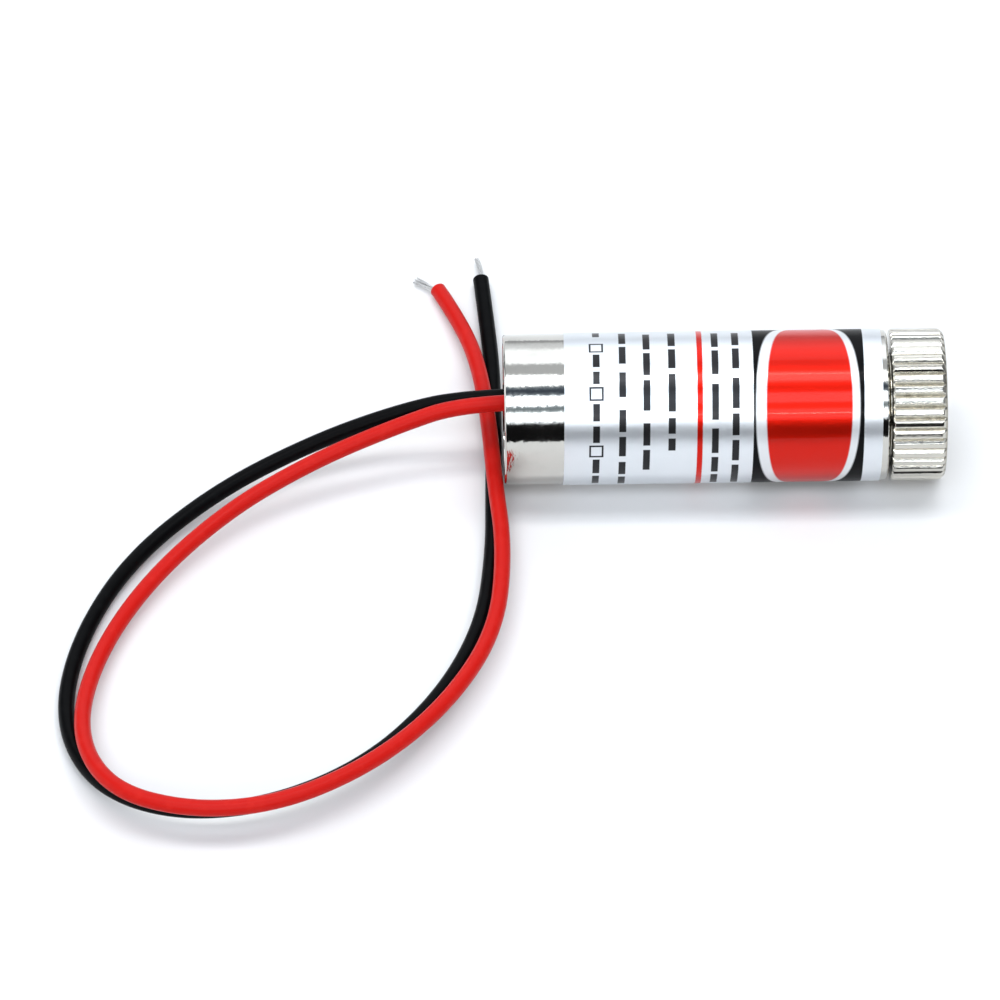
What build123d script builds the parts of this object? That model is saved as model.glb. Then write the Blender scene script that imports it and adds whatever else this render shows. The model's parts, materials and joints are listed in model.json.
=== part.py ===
"""Laser diode module: nickel-plated barrel with a focusing head and two leads. Sizes in millimetres.

The beam leaves along +X and +Z is up. The module lies on its side on the plane Z = 0,
with the middle of its length over the origin and the leads looped on the same plane.
"""
import math
import os

from build123d import *

# Barrel: its lengths stack up from the rear face
barrel_d = 12.0
barrel_wall = 0.8
chamber_depth = 20.4
web_thickness = 3.0
spring_bore_length = 2.2
thread_length = 5.0
rear_chamfer = 0.12
front_chamfer = 0.15
thread_d = 9.0
thread_shoulder = 0.3
running_clearance = 0.05

# Foil label wrapped round the barrel
label_start = 4.75
label_front_margin = 0.55
label_thickness = 0.06
adhesive = 0.02
label_seam = 0.5
seam_direction = -20.0

# Focusing head
knob_gap = 0.25
knob_step = 0.05
knob_length = 4.35
knob_front_chamfer = 0.36
knob_rear_chamfer = 0.18
flute_count = 40
flute_depth = 0.3
flute_width = 0.56
neck_setback = 0.6
neck_chamfer = 0.2
relief_width = 0.6
relief_depth = 0.25
neck_wall = 1.15
lens_lip = 0.5
beam_cone_d = 8.2

# Collimating lens and the ring behind it
lens_recess = 3.1
lens_fit = 0.05
lens_edge = 1.5
lens_rim = 0.55
lens_dome_height = 0.9
retainer_length = 1.2
retainer_wall = 0.85
retainer_slot = 0.8

# Focusing spring, its wire drawn with eight flats
spring_wire = 0.45
wire_flat_count = 8
spring_clearance = 0.125
spring_turns = 3.0
spring_seat = 0.01

# Laser diode in its metal can
stem_d = 5.6
stem_thickness = 1.2
stem_fit = 0.02
pin_d = 0.45
pin_hole_margin = 1.1
pin_overlap = 3.1
pin_rise = 0.3
seal_d = 0.9
seal_fit = 0.01
post_width = 1.6
post_length = 1.3
post_clearance = 0.125
submount_size = (0.9, 0.8, 0.25)
chip_size = (0.4, 0.3, 0.12)
can_d = 3.6
can_height = 2.3
can_wall = 0.15
can_lip = 0.55
can_flange = 0.2
can_opening_d = 1.6
window_fit = 0.05
window_thickness = 0.25

# Driver board, held by its long edges in the chamber; its pieces are placed from its rear end and long edges
board_rear_gap = 0.2
board_front_gap = 0.8
board_edge_fit = 0.03
board_thickness = 0.6
board_gap = 0.01
transistor_size = (2.9, 1.3, 1.0)
transistor_along = 7.2
transistor_edge = 2.7
transistor_leg = (0.4, 0.5, 0.15)
leg_pitch = 0.95
resistor_size = (2.0, 1.25, 0.5)
resistor_count = 3
resistor_first = 3.2
resistor_last = 4.2
resistor_edge = 2.2
capacitor_size = (3.2, 1.6, 1.2)
capacitor_along = 3.0
capacitor_edge = 2.1

# Potting that closes the rear, and the leads through it
potting_start = 0.7
potting_depth = 2.6
potting_dish = 0.25
potting_fit = 0.02
lead_d = 1.3
lead_fit = 0.02
lead_gap = 0.118
lead_slant = 28.2
lead_reach = 0.5
lead_straight = 3.0
conductor_d = 0.48
red_exit = (0.2, 0.72)
red_tail = 2.9
black_tail = 1.7
bare_bend = 0.3

# Solder mounds
lead_mound_r = 0.85
pin_mound_r = 0.75
mound_top = 0.35
mound_back = 0.3
mound_cover = 0.15
solder_fit = 0.02
pin_solder_inset = 1.4

# Values that follow from the sizes above
barrel_r = barrel_d / 2
chamber_r = barrel_r - barrel_wall
label_r = barrel_r + adhesive + label_thickness
web_front = chamber_depth + web_thickness
thread_start = web_front + spring_bore_length
barrel_length = thread_start + thread_length
label_width = barrel_length - label_start - label_front_margin
knob_start = barrel_length + knob_gap
knob_r = barrel_r + knob_step
total_length = knob_start + knob_length
rear_x = -total_length / 2
axis_z = label_r
neck_r = thread_d / 2 - running_clearance
neck_end = thread_start + neck_setback
lens_pocket_d = 2 * (neck_r - neck_wall)
aperture_d = lens_pocket_d - 2 * lens_lip
lens_shoulder = total_length - lens_recess
spring_bore_d = thread_d - 2 * thread_shoulder
spring_mean_d = spring_bore_d - 2 * spring_clearance - spring_wire
can_inner_r = can_d / 2 - can_wall
post_floor = math.sqrt((can_inner_r - post_clearance) ** 2 - post_width**2 / 4)
potting_end = potting_start + potting_depth
lead_inner_end = potting_end + lead_reach
lead_pitch = lead_d + lead_gap
black_exit = (
    red_exit[0] + lead_pitch * math.cos(math.radians(lead_slant)),
    red_exit[1] - lead_pitch * math.sin(math.radians(lead_slant)),
)
pin_r = pin_d / 2
board_top = -(pin_r + board_gap)
board_bottom = board_top - board_thickness
board_start = lead_inner_end + board_rear_gap
board_end = chamber_depth - board_front_gap
board_width = 2 * (math.sqrt(chamber_r**2 - board_bottom**2) - board_edge_fit)
stem_back = web_front - stem_thickness
pin_circle = -board_bottom + board_gap + pin_r
pin_length = stem_back - board_end + pin_overlap
beam_axis = Axis((rear_x, 0, axis_z), (1, 0, 0))


def at(along, across=0.0, above=0.0):
    """Point given from the rear face along the beam, then across and above the beam axis."""
    return (rear_x + along, across, axis_z + above)


def section(turn=0.0):
    """Half-section plane through the beam axis: X along the beam from the rear face, Y outward."""
    return Plane(
        origin=at(0),
        x_dir=(1, 0, 0),
        z_dir=(0, -math.cos(math.radians(turn)), -math.sin(math.radians(turn))),
    )


def facing(along):
    """Plane square to the beam, seen from the front: X across, Y up."""
    return Plane(origin=at(along), x_dir=(0, 1, 0), z_dir=(1, 0, 0))


def corner_radii(points):
    """Bend radius at each inner point, so that an arc takes up 0.45 of its shorter run."""
    radii = []
    for a, b, c in zip(points, points[1:], points[2:]):
        before, after = Vector(*b) - Vector(*a), Vector(*c) - Vector(*b)
        half_turn = math.radians(before.get_angle(after)) / 2
        radii.append(0.45 * min(before.length, after.length) / math.tan(half_turn))
    return radii


# Barrel: turned brass, stepped bore with a web that holds the diode
with BuildPart() as barrel:
    with BuildSketch(section()):
        with BuildLine():
            Polyline(
                (0, chamber_r),
                (0, barrel_r - rear_chamfer),
                (rear_chamfer, barrel_r),
                (barrel_length - front_chamfer, barrel_r),
                (barrel_length, barrel_r - front_chamfer),
                (barrel_length, thread_d / 2),
                (thread_start, thread_d / 2),
                (thread_start, spring_bore_d / 2),
                (web_front, spring_bore_d / 2),
                (web_front, stem_d / 2 + stem_fit),
                (stem_back, stem_d / 2 + stem_fit),
                (stem_back, pin_circle + pin_hole_margin),
                (chamber_depth, pin_circle + pin_hole_margin),
                (chamber_depth, chamber_r),
                close=True,
            )
        make_face()
    revolve(axis=beam_axis)

# Foil label: one sheet with its two edges nearly meeting on the side away from the print
seam_angle = math.degrees(label_seam / label_r)
with BuildPart() as foil_label:
    with BuildSketch(section(seam_direction - 90 + seam_angle / 2)):
        with Locations((label_start + label_width / 2, label_r - label_thickness / 2)):
            Rectangle(label_width, label_thickness)
    revolve(axis=beam_axis, revolution_arc=360 - seam_angle)

# Focusing head: fluted rim, threaded neck, lens pocket and beam cone in one turned piece
with BuildPart() as focus_knob:
    with BuildSketch(section()):
        with BuildLine():
            Polyline(
                (neck_end, lens_pocket_d / 2),
                (neck_end, neck_r - neck_chamfer),
                (neck_end + neck_chamfer, neck_r),
                (knob_start - relief_width, neck_r),
                (knob_start - relief_width, neck_r - relief_depth),
                (knob_start, neck_r - relief_depth),
                (knob_start, knob_r - knob_rear_chamfer),
                (knob_start + knob_rear_chamfer, knob_r),
                (total_length - knob_front_chamfer, knob_r),
                (total_length, knob_r - knob_front_chamfer),
                (total_length, beam_cone_d / 2),
                (total_length - (beam_cone_d - aperture_d) / 2, aperture_d / 2),
                (lens_shoulder, aperture_d / 2),
                (lens_shoulder, lens_pocket_d / 2),
                close=True,
            )
        make_face()
    revolve(axis=beam_axis)
    with BuildSketch(facing(knob_start)):
        with PolarLocations(knob_r, flute_count):
            Polygon(
                (-flute_depth, 0),
                (flute_depth, -flute_width),
                (flute_depth, flute_width),
                align=None,
            )
    extrude(amount=knob_length, mode=Mode.SUBTRACT)

# Collimating lens: flat behind, domed in front, with a flat rim against the pocket shoulder
lens_r = lens_pocket_d / 2 - lens_fit
dome_r = lens_r - lens_rim
with BuildPart() as collimating_lens:
    with BuildSketch(section()):
        with BuildLine():
            dome_edge = (lens_shoulder, dome_r)
            dome_top = (lens_shoulder + lens_dome_height, 0)
            dome_radius = (dome_r**2 + lens_dome_height**2) / (2 * lens_dome_height)
            Polyline(
                dome_top,
                (lens_shoulder - lens_edge, 0),
                (lens_shoulder - lens_edge, lens_r),
                (lens_shoulder, lens_r),
                dome_edge,
            )
            RadiusArc(dome_edge, dome_top, dome_radius)
        make_face()
    revolve(axis=beam_axis)

# Ring that holds the lens, with two slots for a key
retainer_front = lens_shoulder - lens_edge
retainer_r = lens_pocket_d / 2 - running_clearance
with BuildPart() as lens_retainer:
    with BuildSketch(facing(retainer_front - retainer_length)):
        Circle(retainer_r)
        Circle(retainer_r - retainer_wall, mode=Mode.SUBTRACT)
    extrude(amount=retainer_length)
    with BuildSketch(facing(retainer_front - retainer_length)):
        Rectangle(lens_pocket_d, retainer_slot)
    extrude(amount=retainer_length / 2, mode=Mode.SUBTRACT)

# Spring between the web and the neck, which takes the slack out of the thread
spring_height = neck_end - web_front - spring_wire - 2 * spring_seat
with BuildPart() as focus_spring:
    with BuildLine() as coil:
        Helix(
            pitch=spring_height / spring_turns,
            height=spring_height,
            radius=spring_mean_d / 2,
            center=at(web_front + spring_wire / 2 + spring_seat),
            direction=(1, 0, 0),
        )
    with BuildSketch(Plane(origin=coil.line @ 0, z_dir=coil.line % 0)):
        RegularPolygon(spring_wire / 2, wire_flat_count)
    sweep(is_frenet=True)

# Diode stem: disc with two sealed holes and a post that carries the emitter
side_pins = ((pin_circle, 0), (-pin_circle, 0))
chip_stack = submount_size[2] + chip_size[2]
with BuildPart() as diode_base:
    with BuildSketch(facing(stem_back)):
        Circle(stem_d / 2)
        with Locations(*side_pins):
            Circle(seal_d / 2 + seal_fit, mode=Mode.SUBTRACT)
    extrude(amount=stem_thickness)
    with BuildSketch(facing(web_front)):
        with Locations((0, -chip_stack)):
            Rectangle(post_width, post_floor - chip_stack, align=(Align.CENTER, Align.MAX))
    extrude(amount=post_length)

# Emitter on its submount
chip_z = -chip_size[2]
with BuildPart() as diode_submount:
    with Locations(at(web_front + post_length, 0, chip_z)):
        Box(*submount_size, align=(Align.MAX, Align.CENTER, Align.MAX))
with BuildPart() as laser_chip:
    with Locations(at(web_front + post_length, 0, chip_z)):
        Box(*chip_size, align=(Align.MAX, Align.CENTER, Align.MIN))

# Two pins through glass beads, and the common pin on the back of the stem
with BuildPart() as diode_pins:
    with BuildSketch(facing(stem_back - pin_length)):
        with Locations(*side_pins):
            Circle(pin_r)
    extrude(amount=pin_length + stem_thickness + pin_rise)
    with BuildSketch(facing(stem_back - pin_length)):
        with Locations((0, -pin_circle)):
            Circle(pin_r)
    extrude(amount=pin_length)
with BuildPart() as pin_seals:
    with BuildSketch(facing(stem_back)):
        with Locations(*side_pins):
            Circle(seal_d / 2)
            Circle(pin_r + seal_fit, mode=Mode.SUBTRACT)
    extrude(amount=stem_thickness)

# Can welded to the stem, with its window inside
can_top = web_front + can_height
with BuildPart() as diode_can:
    with BuildSketch(section()):
        with BuildLine():
            Polyline(
                (web_front, can_inner_r),
                (web_front, can_d / 2 + can_lip),
                (web_front + can_flange, can_d / 2 + can_lip),
                (web_front + can_flange, can_d / 2),
                (can_top, can_d / 2),
                (can_top, can_opening_d / 2),
                (can_top - can_wall, can_opening_d / 2),
                (can_top - can_wall, can_inner_r),
                close=True,
            )
        make_face()
    revolve(axis=beam_axis)
with BuildPart() as diode_window:
    with BuildSketch(facing(can_top - can_wall - window_thickness)):
        Circle(can_inner_r - window_fit)
    extrude(amount=window_thickness)

# Driver board and what is soldered to it
on_board = (Align.CENTER, Align.CENTER, Align.MIN)
with BuildPart() as driver_board:
    with Locations(at(board_start, 0, board_top)):
        Box(
            board_end - board_start, board_width, board_thickness,
            align=(Align.MIN, Align.CENTER, Align.MAX),
        )
transistor_x = board_start + transistor_along
transistor_y = -(board_width / 2 - transistor_edge)
leg_reach = transistor_size[1] / 2 + transistor_leg[1] / 2
with BuildPart() as driver_transistor:
    with Locations(at(transistor_x, transistor_y, board_top)):
        Box(*transistor_size, align=on_board)
with BuildPart() as transistor_legs:
    with Locations(
        at(transistor_x - leg_pitch, transistor_y - leg_reach, board_top),
        at(transistor_x + leg_pitch, transistor_y - leg_reach, board_top),
        at(transistor_x, transistor_y + leg_reach, board_top),
    ):
        Box(*transistor_leg, align=on_board)
resistor_row = board_end - resistor_last - board_start - resistor_first
resistor_pitch = resistor_row / (resistor_count - 1)
with BuildPart() as chip_resistors:
    with Locations(
        at(
            board_start + resistor_first + resistor_row / 2,
            board_width / 2 - resistor_edge,
            board_top,
        )
    ):
        with GridLocations(resistor_pitch, 0, resistor_count, 1):
            Box(*resistor_size, align=on_board)
with BuildPart() as chip_capacitor:
    with Locations(
        at(board_start + capacitor_along, -(board_width / 2 - capacitor_edge), board_top)
    ):
        Box(*capacitor_size, align=on_board)

# Potting with a slightly dished face and a hole round each lead
potting_r = chamber_r - potting_fit
with BuildPart() as rear_potting:
    with BuildSketch(section()):
        with BuildLine():
            dish_middle = (potting_start + potting_dish, 0)
            dish_rim = (potting_start, potting_r)
            dish_radius = (potting_r**2 + potting_dish**2) / (2 * potting_dish)
            Polyline(
                dish_middle,
                (potting_end, 0),
                (potting_end, potting_r),
                dish_rim,
            )
            RadiusArc(dish_rim, dish_middle, dish_radius)
        make_face()
    revolve(axis=beam_axis)
    with BuildSketch(facing(0)):
        with Locations(red_exit, black_exit):
            Circle(lead_d / 2 + lead_fit)
    extrude(amount=lead_inner_end, mode=Mode.SUBTRACT)

# Leads: route points in order from the board, out of the potting, round the loop to the bare end
lead_floor = lead_d / 2
red_route = [
    at(lead_inner_end, *red_exit),
    at(-lead_straight, *red_exit),
    (-26.3, -1.02, 5.4),
    (-33.12, -3.23, 3.7),
    (-39.94, -7.17, 2.3),
    (-46.14, -13.81, 1.5),
    (-50.16, -21.77, 1.4),
    (-51.36, -30.19, 2.35),
    (-48.67, -36.67, 3.35),
    (-42.45, -39.11, 3.6),
    (-35.56, -38.47, 3.5),
    (-28.49, -34.51, 3.3),
    (-22.69, -28.36, 2.9),
    (-18.57, -20.41, 2.5),
    (-17.73, -11.57, 2.3),
    (-18.4, -3.9, 2.15),
    (-18.78, 3.1, 2.1),
    (-19.63, 10.2, 1.6),
    (-21.35, 15.7, 0.9),
    (-22.7, 18.7, lead_floor),
]
black_route = [
    at(lead_inner_end, *black_exit),
    at(-lead_straight, *black_exit),
    (-26.3, 1.03, 4.8),
    (-33.12, -0.55, 3.0),
    (-40.74, -4.26, 1.5),
    (-47.63, -10.88, 0.8),
    (-51.66, -19.47, lead_floor),
    (-52.68, -27.74, 0.7),
    (-49.86, -34.72, 1.45),
    (-43.84, -38.05, 2.15),
    (-36.36, -37.47, 2.3),
    (-28.79, -33.57, 2.1),
    (-22.86, -26.65, 1.7),
    (-19.31, -18.62, 1.25),
    (-18.35, -10.38, 0.85),
    (-18.36, -3.7, lead_floor),
    (-18.32, 2.8, lead_floor),
    (-18.32, 9.4, lead_floor),
    (-18.66, 14.5, lead_floor),
    (-19.1, 19.9, lead_floor),
]
red_radii = corner_radii(red_route)
black_radii = corner_radii(black_route)
with BuildPart() as red_lead:
    with BuildLine() as red_path:
        FilletPolyline(*red_route, radius=red_radii)
    with BuildSketch(Plane(origin=red_path.line @ 0, z_dir=red_path.line % 0)):
        Circle(lead_d / 2)
    sweep()
with BuildPart() as black_lead:
    with BuildLine() as black_path:
        FilletPolyline(*black_route, radius=black_radii)
    with BuildSketch(Plane(origin=black_path.line @ 0, z_dir=black_path.line % 0)):
        Circle(lead_d / 2)
    sweep()

# Stripped ends: the tail soldered to the board, and the bare end of the lead
red_bare = [red_path.line @ 1, (-22.9, 19.1, 0.62), (-24.2, 19.8, 0.5)]
black_bare = [black_path.line @ 1, (-19.13, 20.4, 0.62), (-19.4, 21.7, 0.5)]
with BuildPart() as red_conductor:
    with BuildSketch(facing(lead_inner_end)):
        with Locations(red_exit):
            Circle(conductor_d / 2)
    extrude(amount=red_tail)
    with BuildLine() as red_end:
        FilletPolyline(*red_bare, radius=bare_bend)
    with BuildSketch(Plane(origin=red_end.line @ 0, z_dir=red_end.line % 0)):
        Circle(conductor_d / 2)
    sweep(path=red_end.line)
with BuildPart() as black_conductor:
    with BuildSketch(facing(lead_inner_end)):
        with Locations(black_exit):
            Circle(conductor_d / 2)
    extrude(amount=black_tail)
    with BuildLine() as black_end:
        FilletPolyline(*black_bare, radius=bare_bend)
    with BuildSketch(Plane(origin=black_end.line @ 0, z_dir=black_end.line % 0)):
        Circle(conductor_d / 2)
    sweep(path=black_end.line)

# Solder: a mound on each lead tail and on each pin, hollowed round what it holds
pin_solder_x = board_end - pin_solder_inset
with BuildPart() as solder_joints:
    for exit_point, tail in ((red_exit, red_tail), (black_exit, black_tail)):
        height = exit_point[1] + conductor_d / 2 + mound_cover - board_top
        with Locations(at(lead_inner_end + tail - mound_back, exit_point[0], board_top)):
            Cone(lead_mound_r, mound_top, height, align=on_board)
    for side, _ in side_pins:
        with Locations(at(pin_solder_x, side, board_top)):
            Cone(pin_mound_r, mound_top, pin_d + mound_cover, align=on_board)
    with Locations(Location(at(pin_solder_x, 0, board_bottom), (180, 0, 0))):
        Cone(pin_mound_r, mound_top, pin_d + mound_cover, align=on_board)
    with BuildSketch(facing(lead_inner_end)):
        with Locations(red_exit):
            Circle(conductor_d / 2 + solder_fit)
    extrude(amount=red_tail + solder_fit, mode=Mode.SUBTRACT)
    with BuildSketch(facing(lead_inner_end)):
        with Locations(black_exit):
            Circle(conductor_d / 2 + solder_fit)
    extrude(amount=black_tail + solder_fit, mode=Mode.SUBTRACT)
    with BuildSketch(facing(stem_back - pin_length)):
        with Locations(*side_pins, (0, -pin_circle)):
            Circle(pin_r + solder_fit)
    extrude(amount=pin_length, mode=Mode.SUBTRACT)

pieces = {
    "barrel": barrel,
    "foil_label": foil_label,
    "focus_knob": focus_knob,
    "collimating_lens": collimating_lens,
    "lens_retainer": lens_retainer,
    "focus_spring": focus_spring,
    "diode_base": diode_base,
    "diode_submount": diode_submount,
    "laser_chip": laser_chip,
    "diode_pins": diode_pins,
    "pin_seals": pin_seals,
    "diode_can": diode_can,
    "diode_window": diode_window,
    "driver_board": driver_board,
    "driver_transistor": driver_transistor,
    "transistor_legs": transistor_legs,
    "chip_resistors": chip_resistors,
    "chip_capacitor": chip_capacitor,
    "solder_joints": solder_joints,
    "rear_potting": rear_potting,
    "red_lead": red_lead,
    "black_lead": black_lead,
    "red_conductor": red_conductor,
    "black_conductor": black_conductor,
}
os.makedirs("parts", exist_ok=True)
for name, piece in pieces.items():
    piece.part.label = name
    export_step(piece.part, f"parts/{name}.step")

for name, path, radii, tube in (
    ("red lead", red_path, red_radii, red_lead),
    ("black lead", black_path, black_radii, black_lead),
):
    section_area = math.pi * lead_d**2 / 4
    print(name, "length", round(path.wire().length, 1), "smallest radius", round(min(radii), 2))
    print("  radii", [round(r, 1) for r in radii])
    print("  volume over section times length", round(tube.part.volume / section_area / path.wire().length, 4))
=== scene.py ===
"""Dressed scene of a laser diode module: nickel barrel, foil label, fluted focusing head and two leads.

Sizes in the classes are millimetres. Meshes are written in metres, in the frame of the CAD model:
the beam runs along +X, +Z is up and the module lies on the plane Z = 0. REAR_X is the barrel's rear face,
from which places along the module are counted, and AXIS_Z the height of the beam axis. Points closer than
WELD, in metres, become one. Values that two classes need stand here once: the places of the web's front
face, of the neck's rear end and of the rim's rear face, and the label's outer radius, its skew along for
each millimetre round, and the angle that its print faces, in degrees from the front edge over the top.
"""
from __future__ import annotations

import json
import logging
import math
from dataclasses import dataclass
from enum import Enum
from typing import Any, Mapping, Sequence

import bmesh
import bpy
import numpy as np
from mathutils import Matrix, Vector
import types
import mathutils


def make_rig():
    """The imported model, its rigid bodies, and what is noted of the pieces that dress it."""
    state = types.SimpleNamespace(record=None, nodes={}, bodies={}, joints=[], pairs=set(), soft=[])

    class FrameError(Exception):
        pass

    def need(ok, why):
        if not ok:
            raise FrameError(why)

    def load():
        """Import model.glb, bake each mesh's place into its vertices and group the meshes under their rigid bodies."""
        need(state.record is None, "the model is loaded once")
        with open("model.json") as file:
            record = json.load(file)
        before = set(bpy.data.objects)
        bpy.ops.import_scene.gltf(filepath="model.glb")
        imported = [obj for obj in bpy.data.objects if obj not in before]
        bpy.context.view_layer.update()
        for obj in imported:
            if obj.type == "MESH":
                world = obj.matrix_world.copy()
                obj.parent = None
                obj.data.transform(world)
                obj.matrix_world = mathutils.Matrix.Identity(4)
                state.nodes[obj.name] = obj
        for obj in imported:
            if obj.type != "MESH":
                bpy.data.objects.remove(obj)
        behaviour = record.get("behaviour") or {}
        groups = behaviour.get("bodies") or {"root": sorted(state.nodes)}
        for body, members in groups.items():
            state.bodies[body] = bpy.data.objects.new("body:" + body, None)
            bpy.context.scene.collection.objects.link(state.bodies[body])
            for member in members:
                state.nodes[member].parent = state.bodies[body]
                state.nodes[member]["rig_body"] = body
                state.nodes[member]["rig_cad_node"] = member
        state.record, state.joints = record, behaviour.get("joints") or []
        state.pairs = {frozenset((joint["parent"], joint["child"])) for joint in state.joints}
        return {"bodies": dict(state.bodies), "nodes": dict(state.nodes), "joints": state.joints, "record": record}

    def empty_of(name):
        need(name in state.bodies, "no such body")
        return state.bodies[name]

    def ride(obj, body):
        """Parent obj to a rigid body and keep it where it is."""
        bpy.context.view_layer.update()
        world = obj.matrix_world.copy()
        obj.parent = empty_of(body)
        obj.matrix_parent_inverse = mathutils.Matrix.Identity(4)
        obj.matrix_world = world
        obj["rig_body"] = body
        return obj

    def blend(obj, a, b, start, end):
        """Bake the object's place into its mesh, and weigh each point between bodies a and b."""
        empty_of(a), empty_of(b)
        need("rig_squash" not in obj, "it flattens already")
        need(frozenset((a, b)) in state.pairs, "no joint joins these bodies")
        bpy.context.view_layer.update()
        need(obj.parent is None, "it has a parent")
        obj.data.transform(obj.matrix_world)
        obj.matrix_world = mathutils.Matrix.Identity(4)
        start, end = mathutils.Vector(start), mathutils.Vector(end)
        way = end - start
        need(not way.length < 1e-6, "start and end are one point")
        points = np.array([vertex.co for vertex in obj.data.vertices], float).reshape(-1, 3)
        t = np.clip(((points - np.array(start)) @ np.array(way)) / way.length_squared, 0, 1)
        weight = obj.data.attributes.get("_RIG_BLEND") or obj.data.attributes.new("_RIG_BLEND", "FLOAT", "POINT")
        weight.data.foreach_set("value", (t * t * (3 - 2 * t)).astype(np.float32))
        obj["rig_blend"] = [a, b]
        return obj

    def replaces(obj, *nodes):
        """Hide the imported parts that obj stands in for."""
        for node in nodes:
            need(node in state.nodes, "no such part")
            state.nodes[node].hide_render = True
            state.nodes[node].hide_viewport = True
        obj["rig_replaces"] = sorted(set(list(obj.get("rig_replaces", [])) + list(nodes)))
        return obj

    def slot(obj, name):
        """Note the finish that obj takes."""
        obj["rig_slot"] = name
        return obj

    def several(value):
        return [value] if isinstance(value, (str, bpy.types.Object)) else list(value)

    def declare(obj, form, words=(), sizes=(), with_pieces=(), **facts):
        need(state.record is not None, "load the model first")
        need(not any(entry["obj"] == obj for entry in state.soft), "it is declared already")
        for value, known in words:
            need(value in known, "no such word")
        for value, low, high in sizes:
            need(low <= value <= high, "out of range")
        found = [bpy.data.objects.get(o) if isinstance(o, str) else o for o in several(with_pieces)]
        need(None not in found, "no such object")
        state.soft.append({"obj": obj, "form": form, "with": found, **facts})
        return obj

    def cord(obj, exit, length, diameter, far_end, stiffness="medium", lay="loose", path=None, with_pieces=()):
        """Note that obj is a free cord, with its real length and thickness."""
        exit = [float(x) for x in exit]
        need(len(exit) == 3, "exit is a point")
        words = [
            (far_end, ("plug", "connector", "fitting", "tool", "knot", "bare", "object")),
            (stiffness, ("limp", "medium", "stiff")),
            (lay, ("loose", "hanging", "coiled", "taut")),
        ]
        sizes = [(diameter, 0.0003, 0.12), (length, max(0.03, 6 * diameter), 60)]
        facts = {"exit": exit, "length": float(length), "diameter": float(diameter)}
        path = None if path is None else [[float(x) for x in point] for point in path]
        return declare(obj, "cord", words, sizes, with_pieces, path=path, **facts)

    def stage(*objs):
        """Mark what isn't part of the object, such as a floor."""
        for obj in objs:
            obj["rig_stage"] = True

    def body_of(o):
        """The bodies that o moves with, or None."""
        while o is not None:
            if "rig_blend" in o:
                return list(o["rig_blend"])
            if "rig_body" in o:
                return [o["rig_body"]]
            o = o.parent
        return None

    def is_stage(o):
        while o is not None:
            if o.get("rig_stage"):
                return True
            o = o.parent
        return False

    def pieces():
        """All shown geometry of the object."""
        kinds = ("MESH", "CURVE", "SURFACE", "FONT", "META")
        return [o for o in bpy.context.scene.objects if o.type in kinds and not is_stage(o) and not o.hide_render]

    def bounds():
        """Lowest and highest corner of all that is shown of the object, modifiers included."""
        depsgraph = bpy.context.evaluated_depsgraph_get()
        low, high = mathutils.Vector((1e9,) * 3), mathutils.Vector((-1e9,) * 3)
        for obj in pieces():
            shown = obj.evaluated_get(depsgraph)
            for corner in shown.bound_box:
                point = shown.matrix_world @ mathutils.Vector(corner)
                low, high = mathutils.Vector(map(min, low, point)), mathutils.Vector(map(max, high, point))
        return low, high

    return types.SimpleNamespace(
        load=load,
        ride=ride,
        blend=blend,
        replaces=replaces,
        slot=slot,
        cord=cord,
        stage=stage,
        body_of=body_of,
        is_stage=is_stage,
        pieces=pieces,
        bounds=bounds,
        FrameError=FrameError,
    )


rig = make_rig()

MM = 0.001
WELD = 2e-8
REAR_X = -17.6
AXIS_Z = 6.08
WEB_FRONT = 23.4
NECK_END = 26.2
RIM_BACK = 30.85
LABEL_R = 6.08
LABEL_SKEW = 0.012
LABEL_FACING = 48.0
UP = (0.0, 0.0, 1.0)
BEAM = (1.0, 0.0, 0.0)
SIZE_FILE = "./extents.json"
LOG = logging.getLogger("laser_module")

Colour = tuple[float, float, float]
Point = tuple[float, float, float]
Span = tuple[float, float]


class Body(Enum):
    """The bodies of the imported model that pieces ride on."""

    HOUSING = "housing"
    SPRING = "spring"
    HEAD = "focus_head"


# Shader maths


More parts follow.
